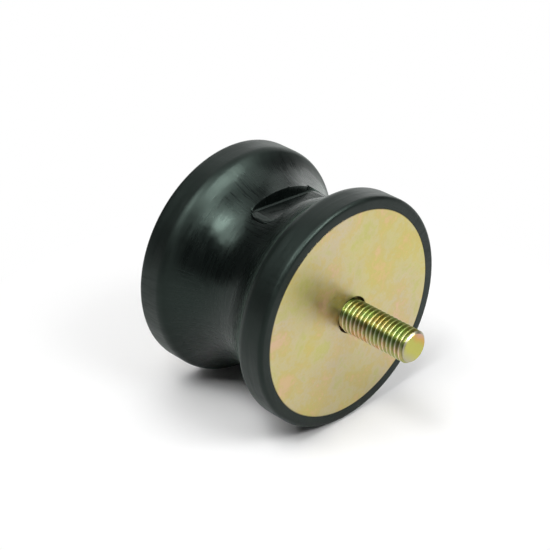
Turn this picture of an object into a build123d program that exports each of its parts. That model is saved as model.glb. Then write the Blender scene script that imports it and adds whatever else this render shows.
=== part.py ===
from build123d import *
from math import cos, radians, sin
import os

# Bobbin vibration mount: a waisted rubber body moulded round two steel end plates, with an
# M10 stud standing out of each plate. The axis lies along Y, the front stud points along -Y,
# and the origin is the middle of the rubber body. Millimetres.

# Rubber body
body_diameter = 70.0
body_height = 50.0  # from face to face, plates included
waist_diameter = 54.0  # at the middle of the height
waist_groove_radius = 20.75  # curve of the waist, seen from the side
shoulder_radius = 3.5  # rounds each flange over into the waist
rim_corner_radius = 1.3  # outer corner of each flange, at its face

# Flat number pad on top of the waist: sunk into it in the middle, proud of it at the two ends
pad_length = 26.6
pad_width = 9.2
pad_corner_radius = 3.5
pad_height = 24.3  # of the flat, above the axis
pad_root = 18.0  # how near to the axis the pad's sides start, well inside the waist
pad_tilt = 4.6  # degrees round the axis, from +Z towards +X

# End plates
plate_diameter = 63.0
plate_thickness = 3.0
plate_hole_diameter = 11.6
plate_edge_chamfer = 0.3

# Studs, M10 x 1.5, each held by a round head behind its plate
stud_diameter = 10.0
stud_length = 24.0  # from the plate's face to the tip
stud_tip_chamfer = 0.8
neck_diameter = 9.0  # unthreaded, inside the plate's hole
head_diameter = 18.0
head_thickness = 3.5

body_radius = body_diameter / 2
half_height = body_height / 2
waist_radius = waist_diameter / 2
plate_radius = plate_diameter / 2
plate_back = half_height - plate_thickness
head_back = plate_back - head_thickness

os.makedirs("parts", exist_ok=True)


# Rubber body: half of its section, revolved about the axis, with a pocket at each end for the
# plate and a deeper one for the stud's head
with BuildPart() as rubber_body:
    with BuildSketch() as section:
        with Locations((body_radius / 2, 0)):
            Rectangle(body_radius, body_height)
        face_corners = section.vertices().group_by(Axis.X)[-1]
        fillet(face_corners, rim_corner_radius)
        with Locations((waist_radius + waist_groove_radius, 0)):
            Circle(waist_groove_radius, mode=Mode.SUBTRACT)
        groove_mouth = section.vertices().group_by(Axis.X)[-1].sort_by(lambda corner: abs(corner.Y))[:2]
        fillet(groove_mouth, shoulder_radius)
        for side in (-1, 1):
            with Locations((plate_radius / 2, side * (half_height + plate_back) / 2)):
                Rectangle(plate_radius, plate_thickness, mode=Mode.SUBTRACT)
            with Locations((head_diameter / 4, side * (plate_back + head_back) / 2)):
                Rectangle(head_diameter / 2, head_thickness, mode=Mode.SUBTRACT)
    revolve(axis=Axis.Y)

    # The pad's outline is a rounded rectangle across the waist. Above the flat it is cut away,
    # and below it is filled, which leaves the two ends standing out of the waist.
    pad_up = Vector(sin(radians(pad_tilt)), 0, cos(radians(pad_tilt)))
    pad_across = Vector(cos(radians(pad_tilt)), 0, -sin(radians(pad_tilt)))
    flat = Plane(origin=pad_up * pad_height, x_dir=pad_across, z_dir=pad_up)
    with BuildSketch(flat):
        RectangleRounded(pad_length, pad_width, pad_corner_radius)
    extrude(amount=pad_root - pad_height)
    with BuildSketch(flat):
        RectangleRounded(pad_length, pad_width, pad_corner_radius)
    extrude(amount=body_radius - pad_height, mode=Mode.SUBTRACT)

rubber_body.part.label = "rubber_body"
export_step(rubber_body.part, "parts/rubber_body.step")


# Plates and studs: the same pair at each end
for end, outward in (("front", Plane.XZ), ("rear", Plane.ZX)):
    with BuildPart() as plate:
        with BuildSketch(outward.offset(plate_back)):
            Circle(plate_radius)
            Circle(plate_hole_diameter / 2, mode=Mode.SUBTRACT)
        extrude(amount=plate_thickness)
        rims = plate.edges().filter_by(GeomType.CIRCLE).group_by(SortBy.RADIUS)[-1]
        face_rim = rims.sort_by(lambda rim: abs(rim.center().Y))[-1]
        chamfer(face_rim, plate_edge_chamfer)
    plate.part.label = f"{end}_plate"
    export_step(plate.part, f"parts/{end}_plate.step")

    with BuildPart() as stud:
        with BuildSketch(outward.offset(head_back)):
            Circle(head_diameter / 2)
        extrude(amount=head_thickness)
        with BuildSketch(outward.offset(plate_back)):
            Circle(neck_diameter / 2)
        extrude(amount=plate_thickness)
        with BuildSketch(outward.offset(half_height)):
            Circle(stud_diameter / 2)
        extrude(amount=stud_length)
        tip = stud.faces().sort_by(lambda face: abs(face.center().Y))[-1]
        chamfer(tip.edges(), stud_tip_chamfer)
    stud.part.label = f"{end}_stud"
    export_step(stud.part, f"parts/{end}_stud.step")
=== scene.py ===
import bpy
from math import atan2, cos, degrees, hypot, pi, radians, sin, sqrt
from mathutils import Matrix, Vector


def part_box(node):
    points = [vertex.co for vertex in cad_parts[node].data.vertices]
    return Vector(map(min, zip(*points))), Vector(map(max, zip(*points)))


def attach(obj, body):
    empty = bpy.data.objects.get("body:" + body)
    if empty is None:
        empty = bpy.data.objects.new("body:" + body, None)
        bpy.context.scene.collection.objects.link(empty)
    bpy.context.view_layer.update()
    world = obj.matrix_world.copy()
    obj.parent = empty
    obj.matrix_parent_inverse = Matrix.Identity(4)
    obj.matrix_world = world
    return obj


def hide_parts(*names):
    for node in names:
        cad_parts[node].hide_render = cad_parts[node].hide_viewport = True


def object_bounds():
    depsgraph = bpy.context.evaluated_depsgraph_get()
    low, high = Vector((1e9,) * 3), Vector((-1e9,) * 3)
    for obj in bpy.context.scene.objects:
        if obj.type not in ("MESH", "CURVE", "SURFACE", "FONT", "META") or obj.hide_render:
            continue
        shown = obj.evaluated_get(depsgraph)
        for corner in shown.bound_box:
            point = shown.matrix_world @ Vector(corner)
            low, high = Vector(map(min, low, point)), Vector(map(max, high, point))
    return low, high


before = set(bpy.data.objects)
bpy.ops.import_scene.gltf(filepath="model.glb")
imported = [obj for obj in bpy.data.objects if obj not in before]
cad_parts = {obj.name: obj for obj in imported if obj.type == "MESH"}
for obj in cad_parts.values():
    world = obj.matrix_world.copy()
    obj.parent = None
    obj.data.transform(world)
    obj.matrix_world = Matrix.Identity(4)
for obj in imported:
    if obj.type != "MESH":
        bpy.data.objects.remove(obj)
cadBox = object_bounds()
print("frame loaded")

mm = 0.001  # the dictionaries below are in millimetres, the scene is in metres
mergeDistance = 0.002 * mm  # points that lie closer than this become one
ringTolerance = 0.0005 * mm  # points this near to a cut belong to its ring
cutTolerance = 0.0001 * mm


def deselectAll():
    if bpy.context.object and bpy.context.object.mode != "OBJECT":
        bpy.ops.object.mode_set(mode="OBJECT")
    bpy.ops.object.select_all(action="DESELECT")


def makeActive(obj):
    deselectAll()
    obj.select_set(True)
    bpy.context.view_layer.objects.active = obj


def editAll(obj):
    makeActive(obj)
    bpy.ops.object.mode_set(mode="EDIT")
    bpy.ops.mesh.select_all(action="SELECT")


def drawChain(name, points):
    # a chain of edges drawn one extrude at a time; points are (radius, distance along the axis)
    deselectAll()
    bpy.ops.mesh.primitive_plane_add(size=mm, location=(0, 0, 0))
    chain = bpy.context.object
    chain.name = name
    bpy.ops.object.mode_set(mode="EDIT")
    bpy.ops.mesh.select_all(action="SELECT")
    bpy.ops.mesh.merge(type="CENTER")
    here = Vector((points[0][0] * mm, points[0][1] * mm, 0))
    bpy.ops.transform.translate(value=here)
    for radius, along in points[1:]:
        there = Vector((radius * mm, along * mm, 0))
        bpy.ops.mesh.extrude_region_move(TRANSFORM_OT_translate={"value": there - here})
        here = there
    bpy.ops.object.mode_set(mode="OBJECT")
    return chain


def closeSeams():
    # in edit mode: points that lie together are joined, and all faces are turned outwards
    bpy.ops.mesh.select_all(action="SELECT")
    bpy.ops.mesh.remove_doubles(threshold=mergeDistance)
    bpy.ops.mesh.normals_make_consistent(inside=False)
    bpy.ops.object.mode_set(mode="OBJECT")


def spinChain(chain, stretches):
    # turns the chain about the Y axis, in stretches of (degrees, steps) that make up a full turn
    editAll(chain)
    for sweep, steps in stretches:
        bpy.ops.mesh.spin(steps=steps, angle=radians(sweep), center=(0, 0, 0), axis=(0, 1, 0))
    closeSeams()


def arcPoints(centre, radius, fromDegrees, toDegrees, steps):
    # round stretch of an outline
    points = []
    for i in range(steps + 1):
        angle = radians(fromDegrees + (toDegrees - fromDegrees) * i / steps)
        points.append((centre[0] + radius * cos(angle), centre[1] + radius * sin(angle)))
    return points


def smoothFaces(obj, sharpAngle):
    makeActive(obj)
    bpy.ops.object.shade_smooth_by_angle(angle=radians(sharpAngle))


def smoothStep(value, low, high):
    share = min(max((value - low) / (high - low), 0), 1)
    return share * share * (3 - 2 * share)


rubber = {
    "waistRadius": 27.0,
    "grooveRadius": 20.75,  # curve of the waist, seen from the side
    "shoulderRadius": 3.5,
    "rimCornerRadius": 1.3,
    "plateRadius": 31.5,
    "plateThickness": 3.0,
    "pocketRadius": 9.0,  # room for the stud's head behind the plate
    "pocketDepth": 3.5,
    "cornerSteps": 7,
    "bandSteps": 5,
    "shoulderSteps": 10,
    "sharpAngle": 40,
}

# rings from the middle of the waist to its shoulder; they lie closest beside the pad's wall
waistRings = {
    "flatSteps": 38,
    "wallReach": 0.36,
    "wallSteps": 6,
    "besideSpacing": 0.5,
    "besideSteps": 8,
    "outerSteps": 8,
}

# degrees and steps of the turn: over the pad's middle, over each of its ends, and the rest
bodySpin = {
    "middleSweep": 41,
    "middleSteps": 82,
    "endSweep": 11,
    "endSteps": 52,
    "beforeSteps": 26,
    "afterSteps": 110,
}

# ridges and grooves are (height, distance from the wall or outline, half width)
pad = {
    "length": 26.6,
    "width": 9.2,
    "cornerRadius": 3.5,
    "height": 24.3,  # of the flat above the axis
    "tilt": 4.6,
    "wallSoftness": 0.09,
    "endSoftness": 0.26,
    "softEnds": (11.4, 12.6),  # how far from the middle the walls turn soft
    "footBead": (0.2, -0.42, 0.3),
    "footGroove": (-0.12, -1.0, 0.22),
    "footEnds": (10.5, 12.0),
    "endLip": (0.1, -0.55, 0.5),
    "lipStarts": (11.4, 12.4),
    "endDrop": 0.6,
    "dropStarts": 11.0,
    "endGroove": (-0.9, 0.36, 0.22),
    "farGroove": (-0.8, 0.4, 0.5),
    "farGrooveStarts": (10.2, 11.4),
    "leastHeight": 15,  # nothing outside these four limits is moved
    "mostSide": 18,
    "mostAlong": 7,
    "mostReach": 30,
}

# small nicks of flash round the pad: (across the waist, along it, height, radius)
padFlash = [
    (2.8, 4.72, 0.4, 0.26),
    (3.1, 4.9, 0.25, 0.2),
    (11.0, 4.4, -0.4, 0.26),
    (10.6, 4.75, 0.25, 0.2),
    (-10.9, 4.7, 0.26, 0.24),
    (-12.6, 3.3, 0.24, 0.24),
    (-6.9, 4.7, 0.1, 0.3),
    (-2.4, 4.7, 0.08, 0.4),
]


def waistHeights(edge):
    # distances of the rings from the middle of the waist, up to the shoulder's edge
    wall = pad["width"] / 2
    near = waistRings["wallReach"]
    atWall = waistRings["wallSteps"]
    onFlat = waistRings["flatSteps"]
    beside = waistRings["besideSteps"]
    outer = waistRings["outerSteps"]
    rings = [wall + near * step / atWall for step in range(-atWall, atWall + 1)]
    rings += [(wall - near) * step / onFlat for step in range(1, onFlat)]
    rings += [wall + near + step * waistRings["besideSpacing"] for step in range(1, beside + 1)]
    last = rings[-1]
    rings += [last + (edge - last) * step / outer for step in range(1, outer)]
    return sorted(rings)


def rubberOutline():
    low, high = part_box("rubber_body")
    bodyRadius = high[2] / mm
    halfHeight = high[1] / mm
    grooveCentre = rubber["waistRadius"] + rubber["grooveRadius"]
    shoulderX = bodyRadius - rubber["shoulderRadius"]
    reach = rubber["grooveRadius"] + rubber["shoulderRadius"]
    shoulderY = sqrt(reach ** 2 - (grooveCentre - shoulderX) ** 2)
    tangent = degrees(atan2(shoulderY, grooveCentre - shoulderX))
    plateBack = halfHeight - rubber["plateThickness"]
    headBack = plateBack - rubber["pocketDepth"]
    corner = rubber["rimCornerRadius"]

    end = [(0, headBack), (rubber["pocketRadius"], headBack), (rubber["pocketRadius"], plateBack)]
    end += [(rubber["plateRadius"], plateBack), (rubber["plateRadius"], halfHeight)]
    cornerCentre = (bodyRadius - corner, halfHeight - corner)
    end += arcPoints(cornerCentre, corner, 90, 0, rubber["cornerSteps"])
    band = halfHeight - corner - shoulderY
    steps = rubber["bandSteps"]
    end += [(bodyRadius, halfHeight - corner - band * i / steps) for i in range(1, steps)]
    shoulder = (shoulderX, shoulderY)
    end += arcPoints(shoulder, rubber["shoulderRadius"], 0, -tangent, rubber["shoulderSteps"])

    groove = rubber["grooveRadius"]
    rings = waistHeights(end[-1][1])
    waist = [(grooveCentre - sqrt(groove ** 2 - ring ** 2), ring) for ring in rings]
    half = end + waist[::-1]
    middle = [(rubber["waistRadius"], 0)]
    return half + middle + [(radius, -along) for radius, along in half[::-1]]


def ridge(distance, height, offset, halfWidth):
    # smooth rise or groove of this height at this offset, flat beyond its half width
    share = min(abs(distance - offset) / halfWidth, 1)
    return height * (1 - share * share) ** 2


def padHeight(side, along, outside):
    # height of the flat above the axis, with its foot bead, its groove and its end lips
    height = pad["height"]
    pastWall = along - pad["width"] / 2
    foot = 1 - smoothStep(abs(side), *pad["footEnds"])
    height += ridge(pastWall, *pad["footBead"]) * foot
    height += ridge(pastWall, *pad["footGroove"]) * foot
    height += ridge(outside, *pad["endLip"]) * smoothStep(abs(side), *pad["lipStarts"])
    height -= pad["endDrop"] * smoothStep(abs(side), pad["dropStarts"], pad["length"] / 2)
    return height


def padOutside(side, along):
    # distance past the pad's rounded outline, negative inside it
    corner = pad["cornerRadius"]
    pastSide = abs(side) - (pad["length"] / 2 - corner)
    pastWidth = abs(along) - (pad["width"] / 2 - corner)
    return hypot(max(pastSide, 0), max(pastWidth, 0)) + min(max(pastSide, pastWidth), 0) - corner


def shapePad(body):
    # the flat is sunk into the waist in the middle and stands proud of it at its ends
    tilt = radians(pad["tilt"])
    up = Vector((sin(tilt), 0, cos(tilt)))
    across = Vector((cos(tilt), 0, -sin(tilt)))
    for vertex in body.data.vertices:
        place = vertex.co / mm
        height = place.dot(up)
        side = place.dot(across)
        if height < pad["leastHeight"] or place.xz.length > pad["mostReach"]:
            continue
        if abs(side) > pad["mostSide"] or abs(place.y) > pad["mostAlong"]:
            continue
        outside = padOutside(side, place.y)
        atEnd = smoothStep(abs(side), *pad["softEnds"])
        soft = pad["wallSoftness"] * (1 - atEnd) + pad["endSoftness"] * atEnd
        inPad = 1 - smoothStep(outside, -soft, soft)
        lift = (padHeight(side, place.y, outside) - height) * inPad
        lift += ridge(outside, *pad["endGroove"]) * atEnd
        if side > 0 and place.y > 0:
            atFarEnd = smoothStep(side, *pad["farGrooveStarts"])
            lift += ridge(outside, *pad["farGroove"]) * atFarEnd
        for flashSide, flashAlong, rise, radius in padFlash:
            lift += ridge(hypot(side - flashSide, place.y - flashAlong), rise, 0, radius)
        vertex.co = (place + up * lift) * mm


def makeRubberBody():
    body = drawChain("rubberBody", rubberOutline())
    padAngle = 90 - pad["tilt"]  # from +X, where the chain lies, up towards +Z
    halfPad = bodySpin["middleSweep"] / 2 + bodySpin["endSweep"]
    spinChain(body, [
        (padAngle - halfPad, bodySpin["beforeSteps"]),
        (bodySpin["endSweep"], bodySpin["endSteps"]),
        (bodySpin["middleSweep"], bodySpin["middleSteps"]),
        (bodySpin["endSweep"], bodySpin["endSteps"]),
        (360 - padAngle - halfPad, bodySpin["afterSteps"]),
    ])
    shapePad(body)
    smoothFaces(body, rubber["sharpAngle"])
    return body


rubberBody = makeRubberBody()
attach(rubberBody, "root")
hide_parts("rubber_body")
print("rubber body", len(rubberBody.data.vertices))


plate = {
    "holeRadius": 5.55,
    "holeChamfer": 0.12,
    "holeShift": (0.85, -0.5),  # the stud doesn't sit quite in the middle of its hole
    "shiftMargin": 1.0,  # the shift is full up to here past the hole
    "shiftEnds": 0.7,  # and it ends at this share of the plate's radius
    "edgeRadius": 0.2,
    "edgeSteps": 5,
    "faceRings": (0.15, 0.4, 0.7, 0.95),
    "steps": 200,
    "sharpAngle": 30,
}


def makePlate(name, node):
    low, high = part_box(node)
    radius = high[2] / mm
    outward = -1 if low[1] < 0 else 1
    face = max(abs(low[1]), abs(high[1])) / mm
    back = min(abs(low[1]), abs(high[1])) / mm
    hole = plate["holeRadius"]
    cut = plate["holeChamfer"]
    edge = plate["edgeRadius"]
    outline = [(hole, back), (hole, face - cut), (hole + cut, face)]
    outline += [(hole + (radius - hole) * share, face) for share in plate["faceRings"]]
    outline += arcPoints((radius - edge, face - edge), edge, 90, 0, plate["edgeSteps"])
    outline += [(radius, back), (hole, back)]
    disc = drawChain(name, [(across, outward * along) for across, along in outline])
    spinChain(disc, [(360, plate["steps"])])
    for vertex in disc.data.vertices:
        reach = hypot(vertex.co.x, vertex.co.z) / mm
        share = 1 - smoothStep(reach, hole + plate["shiftMargin"], radius * plate["shiftEnds"])
        vertex.co.x += plate["holeShift"][0] * share * mm
        vertex.co.z += plate["holeShift"][1] * share * mm
    smoothFaces(disc, plate["sharpAngle"])
    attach(disc, "root")
    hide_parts(node)
    return disc


frontPlate = makePlate("frontPlate", "front_plate")
rearPlate = makePlate("rearPlate", "rear_plate")
print("plates")


stud = {
    "radius": 4.98,
    "rootRadius": 4.12,
    "pitch": 1.5,
    "crestWidth": 0.16,
    "crestEdge": 0.98,  # share of the thread's height at the edge of its crest
    "turnsBefore": 2,  # spare turns, cut off at the plate and at the tip
    "turnsAfter": 3,
    "steps": 80,
    "tipChamfer": 0.8,
    "tipInset": 0.25,
    "tipCentre": 1.6,
    "runoutRadius": 4.4,
    "runoutLength": 1.3,
    "neckRadius": 4.5,
    "neckTop": 0.15,  # how far below the plate's face the neck begins
    "headRadius": 9.0,
    "headThickness": 3.5,
    "sharpAngle": 32,
}

# flank of the thread up to its crest: (share of its height, distance along the axis)
threadFlank = [(0.0, 0.0), (0.02, 0.1), (0.12, 0.2), (0.34, 0.32), (0.62, 0.45), (0.88, 0.57)]


def threadSection(begin):
    # one turn of the thread from root to root; the flanks are divided so the tip can be chamfered
    half = stud["pitch"] / 2
    crest = (stud["crestEdge"], half - stud["crestWidth"] / 2)
    points = []
    for share, along in threadFlank + [crest]:
        points.append((stud["rootRadius"] + (stud["radius"] - stud["rootRadius"]) * share, along))
    points.append((stud["radius"], half))
    points += [(radius, 2 * half - along) for radius, along in points[:-1][::-1]]
    return [(radius, begin + along) for radius, along in points]


def cutFlat(piece, along, keepBelow):
    # everything past this distance along the axis is bisected off
    editAll(piece)
    bpy.ops.mesh.bisect(
        plane_co=(0, along * mm, 0), plane_no=(0, 1, 0), use_fill=False,
        clear_outer=keepBelow, clear_inner=not keepBelow, threshold=cutTolerance,
    )
    bpy.ops.object.mode_set(mode="OBJECT")


def selectRing(piece, along):
    # the open ring of edges at this distance along the axis
    makeActive(piece)
    bpy.ops.object.mode_set(mode="EDIT")
    bpy.ops.mesh.select_mode(type="VERT")
    bpy.ops.mesh.select_all(action="DESELECT")
    bpy.ops.object.mode_set(mode="OBJECT")
    for vertex in piece.data.vertices:
        vertex.select = abs(vertex.co.y - along * mm) < ringTolerance
    bpy.ops.object.mode_set(mode="EDIT")


def pushRing(piece, toAlong, toRadius):
    # the selected ring is extruded along the axis and set to one radius
    bpy.ops.mesh.extrude_edges_move(TRANSFORM_OT_translate={"value": (0, 0, 0)})
    bpy.ops.object.mode_set(mode="OBJECT")
    for vertex in piece.data.vertices:
        if vertex.select:
            reach = hypot(vertex.co.x, vertex.co.z)
            vertex.co.x *= toRadius * mm / reach
            vertex.co.z *= toRadius * mm / reach
            vertex.co.y = toAlong * mm
    bpy.ops.object.mode_set(mode="EDIT")


def sweepThread(name, face, tip):
    # the section is swept along the helix, then both ends are cut off square
    begin = face - stud["turnsBefore"] * stud["pitch"]
    thread = drawChain(name, threadSection(begin))
    screw = thread.modifiers.new("thread", "SCREW")
    screw.axis = "Y"
    screw.screw_offset = stud["pitch"] * mm
    screw.iterations = int((tip - begin) / stud["pitch"]) + stud["turnsAfter"]
    screw.steps = stud["steps"]
    screw.render_steps = stud["steps"]
    screw.use_merge_vertices = True
    screw.merge_threshold = mergeDistance
    makeActive(thread)
    bpy.ops.object.modifier_apply(modifier="thread")
    editAll(thread)
    bpy.ops.mesh.remove_doubles(threshold=mergeDistance)
    bpy.ops.object.mode_set(mode="OBJECT")
    cutFlat(thread, tip, True)
    cutFlat(thread, face, False)
    return thread


def trimThread(thread, face, tip):
    # the thread runs out at the plate, and is chamfered at the tip
    chamferStart = tip - stud["tipChamfer"]
    runout = (stud["radius"] - stud["runoutRadius"]) / stud["runoutLength"]
    for vertex in thread.data.vertices:
        along = vertex.co.y / mm
        reach = hypot(vertex.co.x, vertex.co.z) / mm
        atTip = stud["radius"] - (along - chamferStart)
        atPlate = stud["runoutRadius"] + (along - face) * runout
        allowed = min(atTip, atPlate)
        if reach > allowed:
            vertex.co.x *= allowed / reach
            vertex.co.z *= allowed / reach


def makeStud(name, node):
    low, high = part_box(node)
    isFront = low[1] < 0
    tip = max(abs(low[1]), abs(high[1])) / mm
    headBack = min(abs(low[1]), abs(high[1])) / mm
    plateBack = headBack + stud["headThickness"]
    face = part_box("rubber_body")[1][1] / mm

    thread = sweepThread(name, face, tip)
    trimThread(thread, face, tip)
    selectRing(thread, tip)
    pushRing(thread, tip, stud["radius"] - stud["tipChamfer"] - stud["tipInset"])
    pushRing(thread, tip, stud["tipCentre"])
    bpy.ops.mesh.edge_face_add()

    # the neck goes through the plate's hole and ends in the head behind it
    selectRing(thread, face)
    pushRing(thread, face - stud["neckTop"], stud["neckRadius"])
    pushRing(thread, plateBack, stud["neckRadius"])
    pushRing(thread, plateBack, stud["headRadius"])
    pushRing(thread, headBack, stud["headRadius"])
    bpy.ops.mesh.edge_face_add()
    closeSeams()

    if isFront:  # turned end for end, which keeps the thread right-handed
        makeActive(thread)
        thread.rotation_euler = (pi, 0, 0)
        bpy.ops.object.transform_apply(location=True, rotation=True, scale=True)
    smoothFaces(thread, stud["sharpAngle"])
    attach(thread, "root")
    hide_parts(node)
    return thread


frontStud = makeStud("frontStud", "front_stud")
rearStud = makeStud("rearStud", "rear_stud")
print("studs", len(frontStud.data.vertices))


def newMaterial(name):
    material = bpy.data.materials.new(name)
    material.use_nodes = True
    tree = material.node_tree
    return material, tree, tree.nodes["Principled BSDF"]


def addNode(tree, kind, **values):
    node = tree.nodes.new(kind)
    for key, value in values.items():
        if hasattr(node, key):
            setattr(node, key, value)
        else:
            node.inputs[key].default_value = value
    return node


def objectPlace(tree):
    return tree.nodes.new("ShaderNodeTexCoord").outputs["Object"]


def addNoise(tree, coordinates, scale, detail, roughness=0.55, distortion=0.0):
    noise = addNode(
        tree, "ShaderNodeTexNoise",
        Scale=scale, Detail=detail, Roughness=roughness, Distortion=distortion,
    )
    tree.links.new(coordinates, noise.inputs["Vector"])
    return noise.outputs["Fac"]


def addRange(tree, value, fromLow, fromHigh, toLow, toHigh):
    remap = addNode(tree, "ShaderNodeMapRange")
    limits = {"From Min": fromLow, "From Max": fromHigh, "To Min": toLow, "To Max": toHigh}
    for key, number in limits.items():
        remap.inputs[key].default_value = number
    tree.links.new(value, remap.inputs["Value"])
    return remap.outputs["Result"]


def addRamp(tree, value, stops):
    ramp = tree.nodes.new("ShaderNodeValToRGB")
    while len(ramp.color_ramp.elements) < len(stops):
        ramp.color_ramp.elements.new(0.5)
    for element, (place, colour) in zip(ramp.color_ramp.elements, stops):
        element.position = place
        element.color = (*colour, 1)
    tree.links.new(value, ramp.inputs["Fac"])
    return ramp.outputs["Color"]


def fillSockets(tree, sockets, values):
    # each value is a number, a colour, or the output of another node
    for socket, value in zip(sockets, values):
        if isinstance(value, (int, float)):
            socket.default_value = value
        elif isinstance(value, tuple):
            socket.default_value = (*value, 1)
        else:
            tree.links.new(value, socket)


def addMath(tree, operation, first, second=0.0):
    node = addNode(tree, "ShaderNodeMath", operation=operation)
    fillSockets(tree, node.inputs, (first, second))
    return node.outputs["Value"]


def addProduct(tree, first, second):
    return addMath(tree, "MULTIPLY", first, second)


def addMix(tree, share, first, second, blend="MIX"):
    mix = addNode(tree, "ShaderNodeMix", data_type="RGBA", blend_type=blend)
    fillSockets(tree, (mix.inputs[0], mix.inputs[6], mix.inputs[7]), (share, first, second))
    return mix.outputs[2]


def addBump(tree, height, strength, distance, normal=None):
    # a bump this many millimetres high, over the normal of an earlier one
    node = addNode(tree, "ShaderNodeBump", Strength=strength, Distance=distance * mm)
    tree.links.new(height, node.inputs["Height"])
    if normal:
        tree.links.new(normal, node.inputs["Normal"])
    return node.outputs["Normal"]


def addParts(tree, place):
    # the place's x, y and z, and its reach from the Y axis
    parts = tree.nodes.new("ShaderNodeSeparateXYZ")
    tree.links.new(place, parts.inputs["Vector"])
    x, y, z = parts.outputs["X"], parts.outputs["Y"], parts.outputs["Z"]
    squares = addMath(tree, "ADD", addProduct(tree, x, x), addProduct(tree, z, z))
    return x, y, z, addMath(tree, "SQRT", squares)


def addRoundCoordinates(tree, place, aroundScale, alongScale, depthScale):
    # coordinates that follow the turned surface: round the Y axis, along it, and out from it
    x, y, z, reach = addParts(tree, place)
    around = addMath(tree, "ARCTAN2", x, z)
    joined = tree.nodes.new("ShaderNodeCombineXYZ")
    rows = (("X", around, aroundScale), ("Y", y, alongScale), ("Z", reach, depthScale))
    for name, value, scale in rows:
        tree.links.new(addProduct(tree, value, scale), joined.inputs[name])
    return joined.outputs["Vector"]


# noises are (scale, detail, roughness, distortion), and bumps are (strength, millimetres)
rubberLook = {
    "deep": (0.001, 0.0015, 0.0015),
    "bloom": (0.0026, 0.0036, 0.0034),
    "cloudNoise": (60, 5),
    "cloudStops": (0.35, 0.7),
    "ior": 1.41,
    "specularTint": (0.74, 1.0, 0.88),
    "sheen": 0.12,
    "sheenRoughness": 0.3,
    "sheenTint": (0.7, 1.0, 0.82),
    "streakScales": (2.8, 820, 820),  # round the body, along it and out from it
    "streakNoise": (1, 4, 0.6, 0.3),
    "scuffScales": (26, 60, 60),
    "scuffNoise": (1, 5, 0.65, 1.3),
    "patchNoise": (30, 2),
    "patchRange": (0.44, 0.56),
    "wornNoise": (38, 3),
    "wornRange": (0.42, 0.6),
    "wornShare": (0.3, 0.8),
    "markRange": (-0.14, 0.14),
    "waistRoughness": (0.15, 0.42),
    "rimRange": (31.5, 34.2),
    "rimRoughness": 0.15,
    "glossySpot": (-19.9, 7.6, 20.2),
    "spotRange": (2.0, 6.2),
    "spotRaggedness": 2.0,
    "spotRoughness": 0.7,
    "waveNoise": (110, 2, 0.5),
    "waveBump": (0.18, 1.2),
    "streakBump": (0.5, 0.1),
    "grainNoise": (1500, 2),
    "grainBump": (0.15, 0.06),
}


def addMarks(tree, place):
    # wiped streaks run round the body in some patches and across it in others
    aroundBody = addRoundCoordinates(tree, place, *rubberLook["streakScales"])
    acrossBody = addRoundCoordinates(tree, place, *rubberLook["scuffScales"])
    streaks = addNoise(tree, aroundBody, *rubberLook["streakNoise"])
    scuffs = addNoise(tree, acrossBody, *rubberLook["scuffNoise"])
    patch = addNoise(tree, place, *rubberLook["patchNoise"])
    patch = addRange(tree, patch, *rubberLook["patchRange"], 0, 1)
    change = addProduct(tree, addMath(tree, "SUBTRACT", scuffs, streaks), patch)
    return addMath(tree, "ADD", streaks, change), scuffs


def addRubberRoughness(tree, place, marks, scuffs):
    worn = addNoise(tree, place, *rubberLook["wornNoise"])
    worn = addRange(tree, worn, *rubberLook["wornRange"], *rubberLook["wornShare"])
    uneven = addProduct(tree, addMath(tree, "SUBTRACT", marks, 0.5), worn)
    smooth = addRange(tree, uneven, *rubberLook["markRange"], *rubberLook["waistRoughness"])

    # the rims are matter than the waist
    reach = addParts(tree, place)[3]
    rimStart, rimEnd = rubberLook["rimRange"]
    rim = addRange(tree, reach, rimStart * mm, rimEnd * mm, 0, rubberLook["rimRoughness"])

    # one patch shines more than the rest, and its edge is ragged
    spot = addNode(tree, "ShaderNodeVectorMath", operation="DISTANCE")
    tree.links.new(place, spot.inputs[0])
    spot.inputs[1].default_value = [number * mm for number in rubberLook["glossySpot"]]
    ragged = rubberLook["spotRaggedness"]
    away = addMath(tree, "ADD", spot.outputs["Value"], addProduct(tree, scuffs, ragged * mm))
    inner, outer = [(limit + ragged / 2) * mm for limit in rubberLook["spotRange"]]
    matt = addRange(tree, away, inner, outer, rubberLook["spotRoughness"], 1)
    return addProduct(tree, addMath(tree, "ADD", smooth, rim), matt)


def makeRubberMaterial():
    material, tree, shader = newMaterial("blackRubber")
    place = objectPlace(tree)
    shader.inputs["IOR"].default_value = rubberLook["ior"]
    shader.inputs["Sheen Weight"].default_value = rubberLook["sheen"]
    shader.inputs["Sheen Roughness"].default_value = rubberLook["sheenRoughness"]
    shader.inputs["Sheen Tint"].default_value = (*rubberLook["sheenTint"], 1)
    shader.inputs["Specular Tint"].default_value = (*rubberLook["specularTint"], 1)

    cloud = addNoise(tree, place, *rubberLook["cloudNoise"])
    stops = zip(rubberLook["cloudStops"], (rubberLook["deep"], rubberLook["bloom"]))
    tree.links.new(addRamp(tree, cloud, list(stops)), shader.inputs["Base Color"])

    marks, scuffs = addMarks(tree, place)
    roughness = addRubberRoughness(tree, place, marks, scuffs)
    tree.links.new(roughness, shader.inputs["Roughness"])

    waves = addNoise(tree, place, *rubberLook["waveNoise"])
    grain = addNoise(tree, place, *rubberLook["grainNoise"])
    normal = addBump(tree, waves, *rubberLook["waveBump"])
    normal = addBump(tree, marks, *rubberLook["streakBump"], normal)
    normal = addBump(tree, grain, *rubberLook["grainBump"], normal)
    tree.links.new(normal, shader.inputs["Normal"])
    return material


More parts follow.
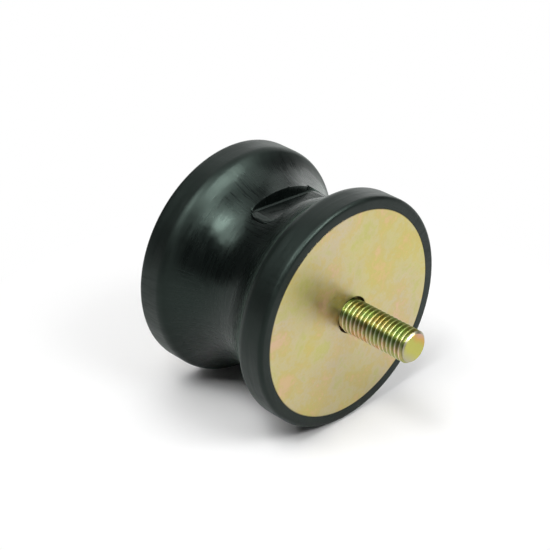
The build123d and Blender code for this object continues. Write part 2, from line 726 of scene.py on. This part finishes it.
# what the plating has in common on the plates and the studs
zincLook = {
    "cloudDetail": (3, 0.55, 0.1),
    "speckleScales": (480, 1300),
    "speckleDetail": 2,
    "speckleShare": 0.25,
    "thrown": (0.12, 0.12, 0.12),  # the metal throws no gold glow on the paper
    "thrownShare": 0.75,
    "mottleNoise": (300, 4),
    "mottleRange": (0.3, 0.7),
    "grainNoise": (700, 3),
    "grainBump": (0.08, 0.05),
}

plateLook = {
    "tints": [
        (0.73, 0.535, 0.31),  # pink
        (0.65, 0.55, 0.23),  # gold
        (0.65, 0.57, 0.33),  # straw
        (0.61, 0.57, 0.24),  # green
    ],
    "cloudScale": 130,
    "cloudSpread": 0.4,
    "roughness": (0.36, 0.48),
    "driftNoise": (40, 2),
    "drift": [(0.38, (1.0, 0.97, 1.12)), (0.62, (1.0, 1.02, 0.84))],  # from lilac to yellow
    "dark": (0.03, 0.022, 0.02),  # painted shade on the hole's wall and the outer edge
    "holeRange": (0.5, 0.1),  # below the face
    "holeShadeShare": 0.9,
    "edgeRange": (-0.15, 0.1),  # past the start of the rounding
    "edgeShadeShare": 0.6,
}

studLook = {
    "tints": [(1.0, 0.66, 0.45), (1.0, 1.0, 1.0), (0.68, 1.0, 0.72)],
    "cloudScale": 150,
    "cloudSpread": 0.22,
    "roughness": (0.33, 0.45),
    "tintShare": 0.75,
    "slant": 0.7,  # of x and of z, so that it runs from the underside over to the top
    "slantReach": 5,
    "driftNoise": (220, 3),
    "drift": 3.5,
    "tipReach": 4.2,
    "chamferTint": (0.48, 0.45, 0.31),
    "chamferRange": (0.8, 0.6),  # below the tip
    "tipRange": (0.12, 0.02),
}

# dark roots with dirt and painted shade, flanks, and worn crests lightened as a painted highlight
threadShadeAndWear = [
    (0.0, (0.29, 0.27, 0.1)),
    (0.45, (0.42, 0.41, 0.16)),
    (0.86, (0.42, 0.41, 0.16)),
    (0.97, (0.8, 0.76, 0.56)),
]

# painted light on the thread from its underside over to its top: a pink painted reflection of the
# plate underneath, painted shade, a painted highlight across the middle and painted shade above
# it
threadPaintedLight = [
    (0.0, (1.1, 0.87, 0.97)),
    (0.12, (1.25, 0.98, 1.15)),
    (0.3, (0.7, 0.7, 0.88)),
    (0.4, (0.42, 0.49, 0.43)),
    (0.5, (0.86, 0.9, 0.72)),
    (0.61, (0.43, 0.48, 0.38)),
    (0.74, (0.37, 0.41, 0.23)),
    (1.0, (0.52, 0.54, 0.29)),
]

# rainbow film on the flat tip: straw, yellow, orange and pink
tipFilm = [
    (0.0, (0.48, 0.45, 0.31)),
    (0.35, (0.53, 0.51, 0.12)),
    (0.66, (0.53, 0.51, 0.12)),
    (0.84, (0.64, 0.4, 0.11)),
    (1.0, (0.64, 0.38, 0.3)),
]


def addPlateColour(tree, place, film):
    # the tint drifts over the plate, and painted shade darkens the hole's wall and the outer edge
    drift = addRamp(tree, addNoise(tree, place, *plateLook["driftNoise"]), plateLook["drift"])
    colour = addMix(tree, 1.0, film, drift, "MULTIPLY")
    y, reach = addParts(tree, place)[1::2]
    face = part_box("rear_plate")[1][1]
    deep, shallow = [face - depth * mm for depth in plateLook["holeRange"]]
    along = addMath(tree, "ABSOLUTE", y)
    # painted shade down the hole's wall
    shadeInHole = addRange(tree, along, deep, shallow, plateLook["holeShadeShare"], 0)
    colour = addMix(tree, shadeInHole, colour, plateLook["dark"])
    edge = rubber["plateRadius"] - plate["edgeRadius"]
    inner, outer = [(edge + past) * mm for past in plateLook["edgeRange"]]
    # painted shade on the rounded outer edge, beside the rubber
    shadeOnEdge = addRange(tree, reach, inner, outer, 0, plateLook["edgeShadeShare"])
    return addMix(tree, shadeOnEdge, colour, plateLook["dark"])


def addThreadColour(tree, place, film):
    # painted shade with dirt in the roots and worn crests lightened as a painted highlight along
    # the thread, painted light from the thread's underside over to its top, and a rainbow film on
    # the flat tip
    x, y, z, reach = addParts(tree, place)
    depth = addRange(tree, reach, stud["rootRadius"] * mm, stud["radius"] * mm, 0, 1)
    # painted shade in the roots, with dirt, and worn crests lightened as a painted highlight
    thread = addRamp(tree, depth, threadShadeAndWear)
    thread = addMix(tree, studLook["tintShare"], thread, film, "MULTIPLY")
    lean = studLook["slant"]
    slant = addMath(tree, "ADD", addProduct(tree, x, lean), addProduct(tree, z, lean))
    limit = studLook["slantReach"] * mm
    # painted light across the thread: a painted reflection of the plate below, a painted
    # highlight and painted shade
    side = addRamp(tree, addRange(tree, slant, -limit, limit, 0, 1), threadPaintedLight)
    thread = addMix(tree, 1.0, thread, side, "MULTIPLY")

    drift = addMath(tree, "SUBTRACT", addNoise(tree, place, *studLook["driftNoise"]), 0.5)
    drift = addProduct(tree, drift, studLook["drift"] * mm)
    limit = studLook["tipReach"] * mm
    drifted = addRange(tree, addMath(tree, "ADD", slant, drift), -limit, limit, 0, 1)
    tip = addRamp(tree, drifted, tipFilm)

    along = addMath(tree, "ABSOLUTE", y)
    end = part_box("rear_stud")[1][1]
    low, high = [end - depth * mm for depth in studLook["chamferRange"]]
    onChamfer = addRange(tree, along, low, high, 0, 1)
    low, high = [end - depth * mm for depth in studLook["tipRange"]]
    onTip = addRange(tree, along, low, high, 0, 1)
    thread = addMix(tree, onChamfer, thread, studLook["chamferTint"])
    return addMix(tree, onTip, thread, tip)


def makeZincMaterial(name, look, addLocalColour):
    material, tree, shader = newMaterial(name)
    shader.inputs["Metallic"].default_value = 1.0
    place = objectPlace(tree)
    cloud = addNoise(tree, place, look["cloudScale"], *zincLook["cloudDetail"])
    for scale in zincLook["speckleScales"]:
        speckle = addNoise(tree, place, scale, zincLook["speckleDetail"])
        speckle = addMath(tree, "SUBTRACT", speckle, 0.5)
        speckle = addProduct(tree, speckle, zincLook["speckleShare"])
        cloud = addMath(tree, "ADD", cloud, speckle)
    tints = look["tints"]
    start = 0.5 - look["cloudSpread"] / 2
    step = look["cloudSpread"] / (len(tints) - 1)
    colour = addRamp(tree, cloud, [(start + step * i, tint) for i, tint in enumerate(tints)])
    colour = addLocalColour(tree, place, colour)

    rays = tree.nodes.new("ShaderNodeLightPath")
    thrown = addProduct(tree, rays.outputs["Is Diffuse Ray"], zincLook["thrownShare"])
    colour = addMix(tree, thrown, colour, zincLook["thrown"])
    tree.links.new(colour, shader.inputs["Base Color"])

    mottle = addNoise(tree, place, *zincLook["mottleNoise"])
    roughness = addRange(tree, mottle, *zincLook["mottleRange"], *look["roughness"])
    tree.links.new(roughness, shader.inputs["Roughness"])
    grain = addNoise(tree, place, *zincLook["grainNoise"])
    tree.links.new(addBump(tree, grain, *zincLook["grainBump"]), shader.inputs["Normal"])
    return material


def dress(piece, material):
    piece.data.materials.clear()
    piece.data.materials.append(material)


blackRubber = makeRubberMaterial()
zincPlate = makeZincMaterial("yellowZincPlate", plateLook, addPlateColour)
zincStud = makeZincMaterial("yellowZincStud", studLook, addThreadColour)
dress(rubberBody, blackRubber)
for piece in (frontPlate, rearPlate):
    dress(piece, zincPlate)
for piece in (frontStud, rearStud):
    dress(piece, zincStud)
print("materials")


studio = {
    "floorSize": 6.0,
    "floorColour": (0.62, 0.62, 0.62),
    "floorSeenColour": (1.0, 1.0, 1.0),
    "reflectedShare": 0.42,
    "farReflectedShare": 0.9,
    "fadeStart": 0.035,
    "fadeEnd": 0.11,
    "skyShare": 0.02,
    "worldStrength": 0.04,
}

# name, azimuth from +Y towards +X, elevation, distance, width, height, radiance, gloss only;
# angles are in degrees and lengths in metres
softboxes = [
    ("leftSoftbox", -108, 61, 0.9, 0.22, 0.3, 9.5, False),
    ("leftGloss", -108, 61, 0.93, 0.34, 0.34, 5.0, True),
    ("leftSpill", -68, 58, 0.95, 0.45, 0.5, 4.8, False),
    ("frontSoftbox", 167, 46, 0.9, 0.5, 0.36, 7.9, False),
    ("frontGloss", 167, 46, 0.93, 0.5, 0.36, 8.0, True),
    ("frontSpill", -146, 51, 0.95, 0.4, 0.35, 5.3, True),
    ("rightGloss", 120, 57, 0.95, 0.5, 0.45, 1.6, True),
    ("backPanel", 50, 9, 1.3, 1.6, 0.6, 1.5, False),
    ("backSpill", 50, 44, 1.3, 1.6, 0.6, 1.22, False),
    ("topPanel", -70, 82, 1.1, 0.6, 0.6, 1.76, False),
]

camera = {
    "lens": 116.5,
    "sensorWidth": 36,
    "location": (-0.3095, -0.3132, 0.2641),
    "lookingDown": 30.75,
    "heading": -44.18,
}


def addSeenShare(tree, reflected):
    # 1 where the camera sees the surface directly, less where a reflection shows it
    rays = tree.nodes.new("ShaderNodeLightPath")
    share = rays.outputs["Is Camera Ray"]
    for name in ("Is Glossy Ray", "Is Transmission Ray"):
        share = addMath(tree, "MAXIMUM", share, addProduct(tree, rays.outputs[name], reflected))
    return share


def makeFloor():
    deselectAll()
    bpy.ops.mesh.primitive_plane_add(size=studio["floorSize"], location=(0, 0, cadBox[0][2]))
    floor = bpy.context.object
    floor.name = "studioFloor"
    material, tree, shader = newMaterial("floorPaper")
    tree.nodes.remove(shader)
    paper = addNode(tree, "ShaderNodeBsdfDiffuse")
    seen = addSeenShare(tree, studio["reflectedShare"])
    colour = addMix(tree, seen, studio["floorColour"], studio["floorSeenColour"])
    tree.links.new(colour, paper.inputs["Color"])

    # past the object's shadow the paper runs out into plain white
    far = addNode(tree, "ShaderNodeVectorMath", operation="LENGTH")
    tree.links.new(objectPlace(tree), far.inputs[0])
    away = addRange(tree, far.outputs["Value"], studio["fadeStart"], studio["fadeEnd"], 0, 1)
    white = addNode(tree, "ShaderNodeEmission", Strength=1.0)
    blend = tree.nodes.new("ShaderNodeMixShader")
    share = addProduct(tree, away, addSeenShare(tree, studio["farReflectedShare"]))
    tree.links.new(share, blend.inputs["Fac"])
    tree.links.new(paper.outputs["BSDF"], blend.inputs[1])
    tree.links.new(white.outputs["Emission"], blend.inputs[2])
    tree.links.new(blend.outputs["Shader"], tree.nodes["Material Output"].inputs["Surface"])
    dress(floor, material)


def makeWorld():
    world = bpy.data.worlds.new("studioWorld")
    bpy.context.scene.world = world
    world.use_nodes = True
    tree = world.node_tree
    background = tree.nodes["Background"]
    background.inputs["Color"].default_value = (1, 1, 1, 1)
    seen = addSeenShare(tree, studio["skyShare"])
    strength = addRange(tree, seen, 0, 1, studio["worldStrength"], 1)
    tree.links.new(strength, background.inputs["Strength"])


def addSoftbox(name, azimuth, elevation, distance, width, height, radiance, glossOnly):
    # a panel that faces the object; a gloss-only one shows in reflections and lights nothing
    across = radians(azimuth)
    above = radians(elevation)
    direction = Vector((sin(across) * cos(above), cos(across) * cos(above), sin(above)))
    data = bpy.data.lights.new(name, "AREA")
    data.shape = "RECTANGLE"
    data.size = width
    data.size_y = height
    data.energy = radiance * pi * width * height
    lamp = bpy.data.objects.new(name, data)
    bpy.context.collection.objects.link(lamp)
    lamp.location = direction * distance
    lamp.rotation_euler = direction.to_track_quat("Z", "Y").to_euler()
    lamp.visible_camera = False
    lamp.visible_diffuse = not glossOnly


def makeCamera():
    data = bpy.data.cameras.new("camera")
    data.lens = camera["lens"]
    data.sensor_width = camera["sensorWidth"]
    viewer = bpy.data.objects.new("camera", data)
    bpy.context.collection.objects.link(viewer)
    viewer.location = camera["location"]
    viewer.rotation_euler = (radians(90 - camera["lookingDown"]), 0, radians(camera["heading"]))
    bpy.context.scene.camera = viewer


makeFloor()
makeWorld()
for softbox in softboxes:
    addSoftbox(*softbox)
makeCamera()
bpy.context.scene.view_settings.view_transform = "Standard"
print("studio")
